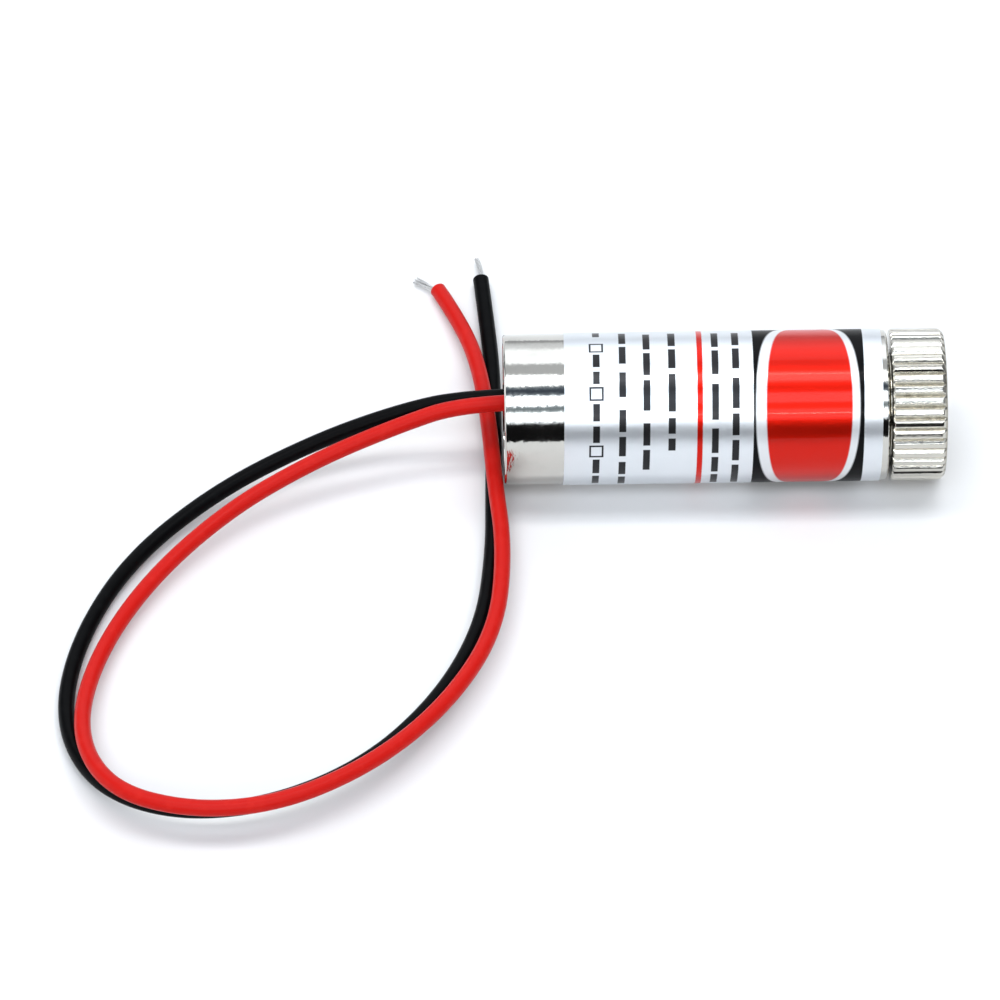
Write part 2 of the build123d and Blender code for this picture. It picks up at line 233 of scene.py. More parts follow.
class Field:
    """A value that changes over a surface: a socket whose arithmetic adds Math nodes."""

    def __init__(self, graph: "Graph", socket: bpy.types.NodeSocket) -> None:
        """Keep the socket and the graph that it belongs to."""
        self.graph = graph
        self.socket = socket

    def math(self, operation: str, *others: Operand) -> "Field":
        """Result of one Math node that takes this value first and then the others."""
        return self.graph.calculate(operation, self, *others)

    def __add__(self, other: Operand) -> "Field":
        """Sum."""
        return self.math("ADD", other)

    __radd__ = __add__

    def __sub__(self, other: Operand) -> "Field":
        """Difference."""
        return self.math("SUBTRACT", other)

    def __rsub__(self, other: Operand) -> "Field":
        """Difference from a number."""
        return self.graph.calculate("SUBTRACT", other, self)

    def __mul__(self, other: Operand) -> "Field":
        """Product."""
        return self.math("MULTIPLY", other)

    __rmul__ = __mul__

    def __truediv__(self, other: Operand) -> "Field":
        """Quotient."""
        return self.math("DIVIDE", other)

    def __pow__(self, other: Operand) -> "Field":
        """Power."""
        return self.math("POWER", other)

    def __abs__(self) -> "Field":
        """Absolute value."""
        return self.math("ABSOLUTE")

    def __lt__(self, other: Operand) -> "Field":
        """One where the value is below the other, and zero elsewhere."""
        return self.math("LESS_THAN", other)

    def fraction(self) -> "Field":
        """Part after the point."""
        return self.math("FRACT")

    def maximum(self, other: Operand) -> "Field":
        """The larger of two values."""
        return self.math("MAXIMUM", other)

    def minimum(self, other: Operand) -> "Field":
        """The smaller of two values."""
        return self.math("MINIMUM", other)

    def rise(self, low: float, high: float) -> "Field":
        """Smooth step t²(3 - 2t), with t the share of the way from low to high.

        Args:
            low: Value up to which the step is 0.
            high: Value from which it is 1.

        Returns:
            The step.
        """
        node = self.graph.node(
            "ShaderNodeMapRange",
            {"interpolation_type": "SMOOTHSTEP", "clamp": True},
            {"Value": self, "From Min": low, "From Max": high},
        )
        return Field(self.graph, node.outputs["Result"])

    def band(self, low: float, high: float, soft: float) -> "Field":
        """Mask: one from low to high and zero outside, with edges as wide as soft."""
        half = soft / 2
        return self.rise(low - half, low + half) * (1 - self.rise(high - half, high + half))


Operand = Field | int | float


class Graph:
    """The nodes of one material or of the world."""

    def __init__(self, tree: bpy.types.NodeTree) -> None:
        """Empty the tree."""
        self.tree = tree
        tree.nodes.clear()

    def node(
        self,
        kind: str,
        settings: Mapping[str, Any] | None = None,
        inputs: Mapping[str | int, Any] | None = None,
    ) -> bpy.types.Node:
        """Add a node, set it up and feed its sockets.

        Args:
            kind: Type of the node.
            settings: Its settings, set first. "stops" are the (place, colour) stops of a ramp.
            inputs: Values or links of its sockets, by name or number.

        Returns:
            The node.
        """
        made = self.tree.nodes.new(kind)
        for name, value in (settings or {}).items():
            if name == "stops":
                self._stops(made.color_ramp, value)
            else:
                setattr(made, name, value)
        for name, value in (inputs or {}).items():
            self.feed(made.inputs[name], value)
        return made

    @staticmethod
    def _stops(ramp: bpy.types.ColorRamp, stops: Sequence[tuple[float, Sequence[float]]]) -> None:
        """Give a ramp its stops.

        Args:
            ramp: The ramp.
            stops: Place from 0 to 1 and colour of each stop, in order.
        """
        while len(ramp.elements) > 1:
            ramp.elements.remove(ramp.elements[-1])
        for index, (place, colour) in enumerate(stops):
            element = ramp.elements[0] if index == 0 else ramp.elements.new(place)
            element.position = place
            element.color = (*colour, 1.0)

    def feed(self, socket: bpy.types.NodeSocket, value: Any) -> None:
        """Link a socket to a field, or set its value.

        Args:
            socket: The socket to feed.
            value: A field, a number, a colour or a vector.
        """
        if isinstance(value, Field):
            self.tree.links.new(value.socket, socket)
        elif socket.type == "RGBA":
            socket.default_value = (*value[:3], 1.0)
        else:
            socket.default_value = value

    def calculate(self, operation: str, *operands: Operand) -> Field:
        """Result of a Math node with the named operation on the operands, in order."""
        node = self.node("ShaderNodeMath", {"operation": operation}, dict(enumerate(operands)))
        return Field(self, node.outputs[0])

    def place(self) -> Field:
        """Object coordinates in millimetres, as one vector."""
        raw = Field(self, self.node("ShaderNodeTexCoord").outputs["Object"])
        return self.scaled(raw, (1 / MM,) * 3)

    def parts(self, vector: Field) -> list[Field]:
        """A vector's x, y and z."""
        node = self.node("ShaderNodeSeparateXYZ", None, {"Vector": vector})
        return [Field(self, socket) for socket in node.outputs]

    def scaled(self, vector: Field, factors: Point) -> Field:
        """A vector with its x, y and z each multiplied by its own factor."""
        node = self.node("ShaderNodeVectorMath", {"operation": "MULTIPLY"}, {0: vector, 1: factors})
        return Field(self, node.outputs["Vector"])

    def noise(self, vector: Field, fineness: float | Point, layers: float) -> Field:
        """Smooth noise about 0.5.

        Args:
            vector: Coordinates in millimetres.
            fineness: Waves for each millimetre, alike for all axes or for x, y and z.
            layers: Number of finer layers on top.

        Returns:
            The noise.
        """
        factors = fineness if isinstance(fineness, tuple) else (fineness,) * 3
        node = self.node(
            "ShaderNodeTexNoise",
            {"noise_dimensions": "3D"},
            {"Vector": self.scaled(vector, factors), "Scale": 1.0, "Detail": layers},
        )
        return Field(self, node.outputs["Fac"])

    def mix(self, factor: Operand, first: Any, second: Any) -> Field:
        """Mix two colours.

        Args:
            factor: 0 gives the first colour, 1 the second.
            first: Colour or field of colour.
            second: Colour or field of colour.

        Returns:
            The mixed colour.
        """
        node = self.node("ShaderNodeMix", {"data_type": "RGBA", "clamp_factor": True})
        sockets = {socket.identifier: socket for socket in node.inputs}
        self.feed(sockets["Factor_Float"], factor)
        self.feed(sockets["A_Color"], first)
        self.feed(sockets["B_Color"], second)
        result = next(out for out in node.outputs if out.identifier == "Result_Color")
        return Field(self, result)

    def bump(self, height: Field, depth: float, under: Field | None = None) -> Field:
        """Tilt the surface by a height.

        Args:
            height: Height from 0 to 1.
            depth: Millimetres for a height of 1.
            under: Normal that the bump is laid on.

        Returns:
            The tilted normal.
        """
        inputs = {"Height": height, "Distance": depth * MM, "Strength": 1.0}
        if under is not None:
            inputs["Normal"] = under
        return Field(self, self.node("ShaderNodeBump", None, inputs).outputs["Normal"])

    def finish(self, shader: bpy.types.Node, target: str = "ShaderNodeOutputMaterial") -> None:
        """Send a shader node's first output to an output node of the target type."""
        output = self.node(target)
        self.tree.links.new(shader.outputs[0], output.inputs["Surface"])


# Finishes


@dataclass(frozen=True)
class Finish:
    """A surface finish, made into a material once and shared by its pieces."""

    name: str

    def material(self) -> bpy.types.Material:
        """Make the finish into a material the first time that it is asked for.

        Returns:
            The material, which all pieces of this finish share.
        """
        known = bpy.data.materials.get(self.name)
        if known is not None:
            return known
        made = bpy.data.materials.new(self.name)
        made.use_nodes = True
        graph = Graph(made.node_tree)
        graph.finish(graph.node("ShaderNodeBsdfPrincipled", None, self.sockets(graph)))
        return made

    def sockets(self, graph: Graph) -> dict[str, Any]:
        """Values and fields for the shader's sockets; each finish has its own."""
        raise NotImplementedError


@dataclass(frozen=True)
class TurnedNickel(Finish):
    """Bright nickel over turned brass: the tool's chatter shows as fine marks round the axis."""

    colour: Colour = (0.578, 0.567, 0.53)
    dull: Colour = (0.50, 0.487, 0.45)
    roughness: float = 0.05
    chatter_depth: float = 0.015
    chatter_fineness: Point = (3.8, 1.2, 1.2)
    ring_fineness: Point = (28.0, 0.12, 0.12)
    stain_fineness: Point = (0.35, 0.5, 0.5)
    stain_from: Span = (0.46, 0.72)
    stain_tone: float = 0.55
    ring_tone: float = 0.35
    added_roughness: float = 0.03

    def sockets(self, graph: Graph) -> dict[str, Any]:
        """Chatter tilts the normal; fine rings and faint stains change roughness and colour.

        Args:
            graph: The material's graph.

        Returns:
            Values and fields by the names of the sockets.
        """
        place = graph.place()
        chatter = graph.noise(place, self.chatter_fineness, 2.0)
        rings = graph.noise(place, self.ring_fineness, 1.0)
        stain = graph.noise(place, self.stain_fineness, 3.0).rise(*self.stain_from)
        dulling = stain * self.stain_tone + (rings - 0.5) * self.ring_tone
        return {
            "Base Color": graph.mix(dulling, self.colour, self.dull),
            "Metallic": 1.0,
            "Roughness": self.roughness + rings * self.added_roughness + stain * self.added_roughness,
            "Normal": graph.bump(chatter, self.chatter_depth),
        }


@dataclass(frozen=True)
class HeadNickel(Finish):
    """Nickel of the focusing head, rougher in the flutes; painted shade darkens the flute floors and the brass thread
    behind the rim.
    """

    colour: Colour = (0.575, 0.555, 0.50)
    # Colour of the painted shade at the flute floors.
    groove: Colour = (0.27, 0.25, 0.2)
    # Thread colour: brass painted almost black, as painted shade in the gap behind the rim.
    brass: Colour = (0.05, 0.04, 0.02)
    rim_start: float = REAR_X + RIM_BACK
    fluted_from: Span = (5.2, 5.6)
    deep_to: Span = (5.75, 5.99)
    flutes_past: Span = (0.05, 0.3)
    thread_past: Span = (-0.06, -0.01)
    blotch_fineness: Point = (2.2, 1.6, 1.6)
    # Share of painted shade in the flute floors: the least, and what the blotches add.
    least_flute_shade: float = 0.25
    blotch_flute_shade: float = 0.9
    broken_fineness: Point = (3.4, 7.0, 7.0)
    broken_depth: float = 0.009
    broken_tone: float = 0.5
    roughness: float = 0.11
    flute_floor_roughness: float = 0.16
    broken_roughness: float = 0.07
    thread_roughness: float = 0.12

    def sockets(self, graph: Graph) -> dict[str, Any]:
        """Height above the flute floor sets painted shade and added roughness; the thread behind the rim is painted
        dark as shade.

        Args:
            graph: The material's graph.

        Returns:
            Values and fields by the names of the sockets.
        """
        place = graph.place()
        x, y, z = graph.parts(place)
        up = z - AXIS_Z
        radius = (y * y + up * up) ** 0.5
        # Painted shade: the colour darkens towards the flute floors, broken up in blotches, and the roughness rises
        # there.
        deep = 1 - radius.rise(*self.deep_to)
        fluted = x.rise(*(self.rim_start + past for past in self.flutes_past))
        fluted = fluted * radius.rise(*self.fluted_from)
        blotch = graph.noise(place, self.blotch_fineness, 4.0)
        flute_shade = (deep * fluted * (self.least_flute_shade + blotch * self.blotch_flute_shade)).minimum(1.0)
        broken = graph.noise(place, self.broken_fineness, 3.0)
        # Painted shade: behind the rim the colour turns to the thread's brass painted almost black, where the gap lies
        # in shade.
        shaded_thread = 1 - x.rise(*(self.rim_start + past for past in self.thread_past))
        plated = graph.mix(flute_shade + (broken - 0.5) * self.broken_tone, self.colour, self.groove)
        rough = self.roughness + flute_shade * self.flute_floor_roughness + broken * self.broken_roughness
        return {
            "Base Color": graph.mix(shaded_thread, plated, self.brass),
            "Metallic": 1.0,
            "Roughness": rough + shaded_thread * self.thread_roughness,
            "Normal": graph.bump(broken, self.broken_depth),
        }


@dataclass(frozen=True)
class BarRow:
    """One row of short bars and open boxes on the label.

    start and end are its edges along the barrel; bars are pairs of edges round the barrel, and
    boxes the middles of open squares.
    """

    start: float
    end: float
    bars: tuple[Span, ...]
    boxes: tuple[float, ...] = ()


@dataclass(frozen=True)
class PrintedFoil(Finish):
    """Silver foil label with printed fields: rows of bars, a thin stripe, a dark band and a panel."""

    silver: Colour = (0.725, 0.756, 0.788)
    ink_red: Colour = (0.61, 0.011, 0.004)
    ink_black: Colour = (0.004, 0.004, 0.0045)
    ink_white: Colour = (0.72, 0.735, 0.75)
    ink_thin: Colour = (0.031, 0.031, 0.033)
    radius: float = LABEL_R
    facing: float = LABEL_FACING
    skew: float = LABEL_SKEW
    rows: tuple[BarRow, ...] = (
        BarRow(6.73, 7.87, ((-8.6, -7.3), (-4.7, -3.4), (-3.0, -1.9), (-0.3, 1.1), (1.5, 2.9),
                            (4.5, 6.2), (6.6, 8.3)), (-5.5, -1.1, 3.7)),
        BarRow(8.8, 9.95, ((-8.2, -6.0), (-5.6, -3.7), (-2.9, -0.8), (0.2, 2.0), (2.4, 4.2),
                           (4.8, 6.4), (6.8, 8.6))),
        BarRow(10.72, 11.87, ((-7.8, -5.2), (-4.8, -2.6), (-2.2, 0.3), (1.3, 3.2), (3.6, 5.8))),
        BarRow(12.7, 13.9, ((-8.0, -5.6), (-5.2, -3.2), (-2.7, 0.4), (0.9, 2.2), (2.6, 3.7))),
        BarRow(16.17, 17.3, ((-7.9, -5.4), (-5.0, -2.6), (-1.8, 1.1), (1.8, 4.0), (4.4, 6.2),
                             (6.6, 8.6))),
        BarRow(17.79, 18.95, ((-7.9, -5.6), (-5.2, -3.1), (-2.3, 0.2), (0.6, 2.4), (2.8, 4.8),
                              (5.3, 8.6))),
    )
    bar_inset: float = 0.26
    box_line: float = 0.15
    stripe: Span = (15.3, 15.74)
    band: Span = (19.77, 28.56)
    panel_outer: Point = (24.08, 4.14, 10.6)
    panel_inner: Point = (24.2, 3.42, 10.1)
    panel_arc: float = 0.1
    panel_power: float = 2.1
    panel_edge: Span = (0.96, 1.04)
    print_half: float = 14.5
    edge: float = 0.05
    grain_fineness: Point = (0.18, 2.6, 2.6)
    ripple_fineness: Point = (0.22, 0.16, 0.16)
    crinkle_fineness: float = 2.0
    depths: Point = (0.0011, 0.008, 0.035)
    metallic: float = 0.88
    white_cover: float = 0.4
    roughness: float = 0.28
    grain_roughness: float = 0.1
    specular: float = 0.03
    band_coat: float = 0.05
    red_coat: float = 0.22
    coat_roughness: float = 0.03

    def sockets(self, graph: Graph) -> dict[str, Any]:
        """Masks along the barrel and round it choose the ink; thin ink keeps the foil's sheen.

        Args:
            graph: The material's graph.

        Returns:
            Values and fields by the names of the sockets.
        """
        place = graph.place()
        x, y, z = graph.parts(place)
        angle = graph.calculate("ARCTAN2", z - AXIS_Z, y * -1.0)
        arc = (math.radians(self.facing) - angle) * self.radius
        along = x - REAR_X + arc * self.skew
        grain = graph.noise(place, self.grain_fineness, 3.0)
        ripple = graph.noise(place, self.ripple_fineness, 1.0)
        crinkle = graph.noise(place, self.crinkle_fineness, 2.0)

        marks: Operand = 0.0
        for row in self.rows:
            marks = self.row_mask(row, along, arc) + marks
        marks = marks.minimum(1.0)
        front = abs(arc) < self.print_half
        stripe = along.band(*self.stripe, self.edge) * front
        band = along.band(*self.band, self.edge) * front
        outer = self.panel_mask(along, arc, self.panel_outer)
        inner = self.panel_mask(along, arc, self.panel_inner)

        colour = graph.mix(marks, self.silver, self.ink_thin)
        colour = graph.mix(stripe, colour, self.ink_red)
        colour = graph.mix(band, colour, self.ink_black)
        colour = graph.mix(outer, colour, self.ink_white)
        colour = graph.mix(inner, colour, self.ink_red)
        dark = band * (1 - outer)
        white = outer * (1 - inner)
        red = (inner + stripe).minimum(1.0)
        fine, middling, broad = self.depths
        tilt = graph.bump(crinkle, middling, graph.bump(grain, fine))
        return {
            "Base Color": colour,
            "Metallic": self.metallic - dark * self.metallic - white * self.white_cover,
            "Roughness": self.roughness + grain * self.grain_roughness,
            "Specular IOR Level": self.specular,
            "Coat Weight": band * self.band_coat + red * self.red_coat,
            "Coat Roughness": self.coat_roughness,
            "Normal": graph.bump(ripple, broad, tilt),
        }

    def row_mask(self, row: BarRow, along: Field, arc: Field) -> Field:
        """Bars and boxes of one row.

        Args:
            row: The row.
            along: Distance from the rear face.
            arc: Distance round the barrel from the middle of the print.

        Returns:
            The mask of the row.
        """
        height = row.end - row.start
        inset, soft = self.bar_inset * height, self.edge
        bars: Operand = 0.0
        for first, last in row.bars:
            bars = arc.band(first, last, soft) + bars
        mask = bars * along.band(row.start + inset, row.end - inset, soft)
        if row.boxes:
            away: Operand = self.print_half
            for middle in row.boxes:
                away = abs(arc - middle).minimum(away)
            off = abs(along - (row.start + row.end) / 2).maximum(away)
            mask = mask + off.band(height / 2 - self.box_line, height / 2, soft)
        return mask

    def panel_mask(self, along: Field, arc: Field, panel: Point) -> Field:
        """Oval panel: the sum of the powers of both distances over its half sizes is under 1.

        Args:
            along: Distance from the rear face.
            arc: Distance round the barrel from the middle of the print.
            panel: Its middle along the barrel, then its half sizes along and round the barrel.

        Returns:
            The panel's mask.
        """
        middle, half_along, half_round = panel
        across = (abs(along - middle) / half_along) ** self.panel_power
        around = (abs(arc - self.panel_arc) / half_round) ** self.panel_power
        return 1 - (across + around).rise(*self.panel_edge)


@dataclass(frozen=True)
class LeadSleeve(Finish):
    """Soft PVC insulation: a satin skin with light scuffs and a slow unevenness."""

    colour: Colour
    scuffed: Colour
    specular: float
    roughness: float = 0.34
    scuff_fineness: float = 0.9
    scuff_from: Span = (0.5, 0.75)
    scuff_tone: float = 0.5
    scuff_roughness: float = 0.14
    skin_fineness: float = 9.0
    skin_tone: float = 0.3
    skin_roughness: float = 0.12
    skin_depth: float = 0.004
    uneven_fineness: float = 0.7
    uneven_depth: float = 0.05

    def sockets(self, graph: Graph) -> dict[str, Any]:
        """Scuffs lighten and roughen the skin; a slow unevenness tilts it.

        Args:
            graph: The material's graph.

        Returns:
            Values and fields by the names of the sockets.
        """
        place = graph.place()
        scuff = graph.noise(place, self.scuff_fineness, 5.0).rise(*self.scuff_from)
        skin = graph.noise(place, self.skin_fineness, 2.0)
        uneven = graph.noise(place, self.uneven_fineness, 1.0)
        worn = scuff * self.scuff_tone + (skin - 0.5) * self.skin_tone
        return {
            "Base Color": graph.mix(worn, self.colour, self.scuffed),
            "Roughness": self.roughness + scuff * self.scuff_roughness + (skin - 0.5) * self.skin_roughness,
            "Specular IOR Level": self.specular,
            "Normal": graph.bump(uneven, self.uneven_depth, graph.bump(skin, self.skin_depth)),
        }


@dataclass(frozen=True)
class Grained(Finish):
    """A plain finish with its own grain: two tones, and a skin that varies in gloss and height."""

    colour: Colour
    second: Colour
    metallic: float = 0.0
    roughness: float = 0.4
    fineness: float = 3.0
    depth: float = 0.003
    round_fineness: float | None = None
    second_from: Span = (0.32, 0.7)
    grain_roughness: float = 0.2

    def sockets(self, graph: Graph) -> dict[str, Any]:
        """Noise mixes the two tones and moves roughness and normal with them.

        Args:
            graph: The material's graph.

        Returns:
            Values and fields by the names of the sockets.
        """
        place = graph.place()
        across = self.round_fineness or self.fineness
        grain = graph.noise(place, (self.fineness, across, across), 3.0)
        return {
            "Base Color": graph.mix(grain.rise(*self.second_from), self.colour, self.second),
            "Metallic": self.metallic,
            "Roughness": self.roughness + (grain - 0.5) * self.grain_roughness,
            "Normal": graph.bump(grain, self.depth),
        }


@dataclass(frozen=True)
class BoardLacquer(Finish):
    """Circuit board: green lacquer over copper tracks that run along the board."""

    lacquer: Colour = (0.012, 0.11, 0.04)
    track: Colour = (0.03, 0.21, 0.075)
    track_pitch: float = 0.9
    track_span: Span = (0.2, 0.62)
    track_soft: float = 0.05
    track_height: float = 0.03
    bend_fineness: Point = (0.25, 0.0, 0.0)
    bend: float = 1.6
    gap_fineness: Point = (0.3, 0.7, 0.3)
    gap_to: Span = (0.42, 0.46)
    roughness: float = 0.3
    grain_fineness: float = 6.0
    grain_roughness: float = 0.15

    def sockets(self, graph: Graph) -> dict[str, Any]:
        """Tracks stand up a little under the lacquer and look lighter.

        Args:
            graph: The material's graph.

        Returns:
            Values and fields by the names of the sockets.
        """
        place = graph.place()
        _, y, _ = graph.parts(place)
        bend = (graph.noise(place, self.bend_fineness, 0.0) - 0.5) * self.bend
        track = ((y + bend) / self.track_pitch).fraction().band(*self.track_span, self.track_soft)
        track = track * graph.noise(place, self.gap_fineness, 1.0).rise(*self.gap_to)
        grain = graph.noise(place, self.grain_fineness, 2.0)
        return {
            "Base Color": graph.mix(track, self.lacquer, self.track),
            "Roughness": self.roughness + grain * self.grain_roughness,
            "Normal": graph.bump(track, self.track_height),
        }


@dataclass(frozen=True)
class CoatedGlass(Finish):
    """Moulded lens glass with a faint coating tint."""

    colour: Colour = (0.93, 0.96, 0.98)
    second: Colour = (0.86, 0.92, 0.98)
    ior: float = 1.51
    tint_fineness: float = 0.4
    dust_fineness: float = 14.0
    dust_from: Span = (0.72, 0.8)
    dust_roughness: float = 0.2
    roughness: float = 0.01
    coat: float = 0.2

    def sockets(self, graph: Graph) -> dict[str, Any]:
        """A slow change of tint, with a few dust specks that dull the surface.

        Args:
            graph: The material's graph.

        Returns:
            Values and fields by the names of the sockets.
        """
        place = graph.place()
        tint = graph.noise(place, self.tint_fineness, 1.0)
        dust = graph.noise(place, self.dust_fineness, 1.0).rise(*self.dust_from)
        return {
            "Base Color": graph.mix(tint, self.colour, self.second),
            "Roughness": self.roughness + dust * self.dust_roughness,
            "Transmission Weight": 1.0,
            "IOR": self.ior,
            "Coat Weight": self.coat,
        }


@dataclass(frozen=True)
class TableTop(Finish):
    """Matt white laminate."""

    colour: Colour = (0.80, 0.795, 0.79)
    second: Colour = (0.79, 0.785, 0.78)
    tone_fineness: float = 0.02
    roughness: float = 0.8
    specular: float = 0.1

    def sockets(self, graph: Graph) -> dict[str, Any]:
        """Two close whites in a slow pattern.

        Args:
            graph: The material's graph.

        Returns:
            Values and fields by the names of the sockets.
        """
        place = graph.place()
        tone = graph.noise(place, self.tone_fineness, 1.0)
        return {
            "Base Color": graph.mix(tone, self.colour, self.second),
            "Roughness": self.roughness,
            "Specular IOR Level": self.specular,
        }


NICKEL = TurnedNickel("turned_nickel")
HEAD_NICKEL = HeadNickel("head_nickel")
FOIL = PrintedFoil("printed_foil")
RED_SLEEVE = LeadSleeve("red_sleeve", (0.52, 0.009, 0.006), (0.58, 0.018, 0.012), 0.09)
BLACK_SLEEVE = LeadSleeve("black_sleeve", (0.0018, 0.0019, 0.0022), (0.0045, 0.005, 0.0055), 0.04)
TINNED = Grained("tinned_strand", (0.70, 0.70, 0.69), (0.48, 0.48, 0.48), 1.0, 0.3, 8.0, 0.006)
RESIN = Grained("potting_resin", (0.66, 0.63, 0.55), (0.54, 0.505, 0.42), 0.0, 0.3, 0.8, 0.02)
GLASS = CoatedGlass("lens_glass")
BRASS = Grained("bare_brass", (0.62, 0.44, 0.17), (0.47, 0.32, 0.11), 1.0, 0.3, 20.0, 0.002, 0.4)
SPRING_WIRE = Grained("spring_wire", (0.42, 0.42, 0.43), (0.28, 0.28, 0.29), 1.0, 0.3, 4.0, 0.002)
GOLD = Grained("gold_plate", (0.83, 0.60, 0.22), (0.70, 0.48, 0.16), 1.0, 0.22, 5.0, 0.001)
CHIP = Grained("emitter_chip", (0.11, 0.11, 0.13), (0.17, 0.16, 0.18), 0.3, 0.3, 12.0, 0.001)
SEAL = Grained("seal_glass", (0.015, 0.02, 0.03), (0.03, 0.04, 0.055), 0.0, 0.12, 3.0, 0.002)
CAN = Grained("can_steel", (0.60, 0.58, 0.53), (0.48, 0.46, 0.42), 1.0, 0.26, 12.0, 0.0015, 0.5)
MOULDING = Grained("black_moulding", (0.012, 0.012, 0.013), (0.03, 0.03, 0.032), 0.0, 0.55, 14.0, 0.004)
CERAMIC = Grained("capacitor_ceramic", (0.33, 0.19, 0.085), (0.25, 0.14, 0.06), 0.0, 0.5, 10.0, 0.003)
SOLDER = Grained("solder", (0.66, 0.66, 0.67), (0.5, 0.5, 0.51), 1.0, 0.2, 2.5, 0.012)
BOARD = BoardLacquer("board_lacquer")
TABLE = TableTop("table_top")

CARRIED: Mapping[str, Finish] = {
    "lens_retainer": BRASS,
    "diode_base": GOLD,
    "diode_submount": CHIP,
    "laser_chip": CHIP,
    "diode_pins": GOLD,
    "pin_seals": SEAL,
    "diode_can": CAN,
    "diode_window": GLASS,
    "driver_board": BOARD,
    "driver_transistor": MOULDING,
    "transistor_legs": TINNED,
    "chip_resistors": MOULDING,
    "chip_capacitor": CERAMIC,
    "solder_joints": SOLDER,
}


# Surfaces


def grid_faces(rows: int, columns: int, wrap_rows: bool, wrap_columns: bool) -> np.ndarray:
    """Quads of a grid whose points are numbered row by row.

    Args:
        rows: Number of rows.
        columns: Number of points in a row.
        wrap_rows: Whether the last row joins the first.
        wrap_columns: Whether each row closes on itself.

    Returns:
        Four point numbers for each quad.
    """
    row, column = np.meshgrid(
        np.arange(rows if wrap_rows else rows - 1),
        np.arange(columns if wrap_columns else columns - 1),
        indexing="ij",
    )
    below, beside = (row + 1) % rows, (column + 1) % columns
    quads = (
        row * columns + column,
        row * columns + beside,
        below * columns + beside,
        below * columns + column,
    )
    return np.stack(quads, axis=-1).reshape(-1, 4)


def rounded(corners: Sequence[Point], steps: int = 6) -> np.ndarray:
    """Outline with rounded corners: at each corner c, from a to b at the rounding's distance,
    the points a(1 - t)² + 2c·t(1 - t) + b·t².

    Args:
        corners: x, radius and rounding distance of each corner, in order round the outline.
        steps: Points on each corner.

    Returns:
        Points (x, radius) of the closed outline.
    """
    data = np.array(corners, dtype=float)
    place, cut = data[:, :2], data[:, 2:]
    before, after = np.roll(place, 1, axis=0) - place, np.roll(place, -1, axis=0) - place
    a = place + before / np.linalg.norm(before, axis=1, keepdims=True) * cut
    b = place + after / np.linalg.norm(after, axis=1, keepdims=True) * cut
    t = np.linspace(0.0, 1.0, steps)[None, :, None]
    points = a[:, None] * (1 - t) ** 2 + 2 * place[:, None] * t * (1 - t) + b[:, None] * t**2
    return points.reshape(-1, 2)


def turned(along: np.ndarray, radius: np.ndarray, angles: np.ndarray) -> np.ndarray:
    """Turned surface: a point at angle a is (rear + along, -r·cos a, axis + r·sin a).

    Args:
        along: Distance from the rear face of each outline point.
        radius: Radius of each outline point, or of each point at each angle.
        angles: Angles about the beam axis in radians, from the front edge over the top.

    Returns:
        Points, outline by outline, of shape (outline, angle, 3).
    """
    radius = np.broadcast_to(np.atleast_2d(radius.T).T, (len(along), len(angles)))
    x = np.broadcast_to(along[:, None] + REAR_X, radius.shape)
    return np.stack([x, -radius * np.cos(angles), AXIS_Z + radius * np.sin(angles)], axis=-1)


def all_round(count: int) -> np.ndarray:
    """Evenly spread angles of one full turn, in radians."""
    return np.linspace(0.0, 2 * np.pi, count, endpoint=False)


def square_to(paths: np.ndarray, aside: Point) -> tuple[np.ndarray, np.ndarray]:
    """Directions square to paths: n = t × aside and m = n × t, of length 1, for the tangent t.

    Args:
        paths: Points along one or more paths, of shape (..., point, 3).
        aside: A direction that no path runs in.

    Returns:
        n and m at each point.
    """
    tangent = np.gradient(paths, axis=-2)
    tangent /= np.linalg.norm(tangent, axis=-1, keepdims=True)
    level = np.cross(tangent, aside)
    level /= np.linalg.norm(level, axis=-1, keepdims=True)
    return level, np.cross(level, tangent)


def swept(
    paths: np.ndarray, radius: float, sides: int = 10, aside: Point = UP
) -> tuple[np.ndarray, np.ndarray]:
    """Round wires: at each path point a circle r(cos u·n + sin u·m), n and m square to the path,
    closed by a point at both ends.

    Args:
        paths: Points of each wire's middle, of shape (wire, point, 3).
        radius: Radius of a wire.
        sides: Sides of the circle.
        aside: A direction that no wire runs in; n is square to it.

    Returns:
        Points and quads of all the wires.
    """
    level, other = square_to(paths, aside)
    turn = all_round(sides)[:, None]
    ring = paths[:, :, None] + radius * (
        np.cos(turn) * level[:, :, None] + np.sin(turn) * other[:, :, None]
    )
    first, last = (np.repeat(tip[:, :, None], sides, axis=2) for tip in (paths[:, :1], paths[:, -1:]))
    closed = np.concatenate([first, ring, last], axis=1)
    wires, rows = closed.shape[:2]
    quads = grid_faces(rows, sides, False, True)
    faces = np.concatenate([quads + wire * rows * sides for wire in range(wires)])
    return closed.reshape(-1, 3), faces


@dataclass(frozen=True)
class Stretch:
    """How a piece lengthens: it leaves its own body at start and belongs to another from end on."""

    other: Body
    start: Vector
    end: Vector


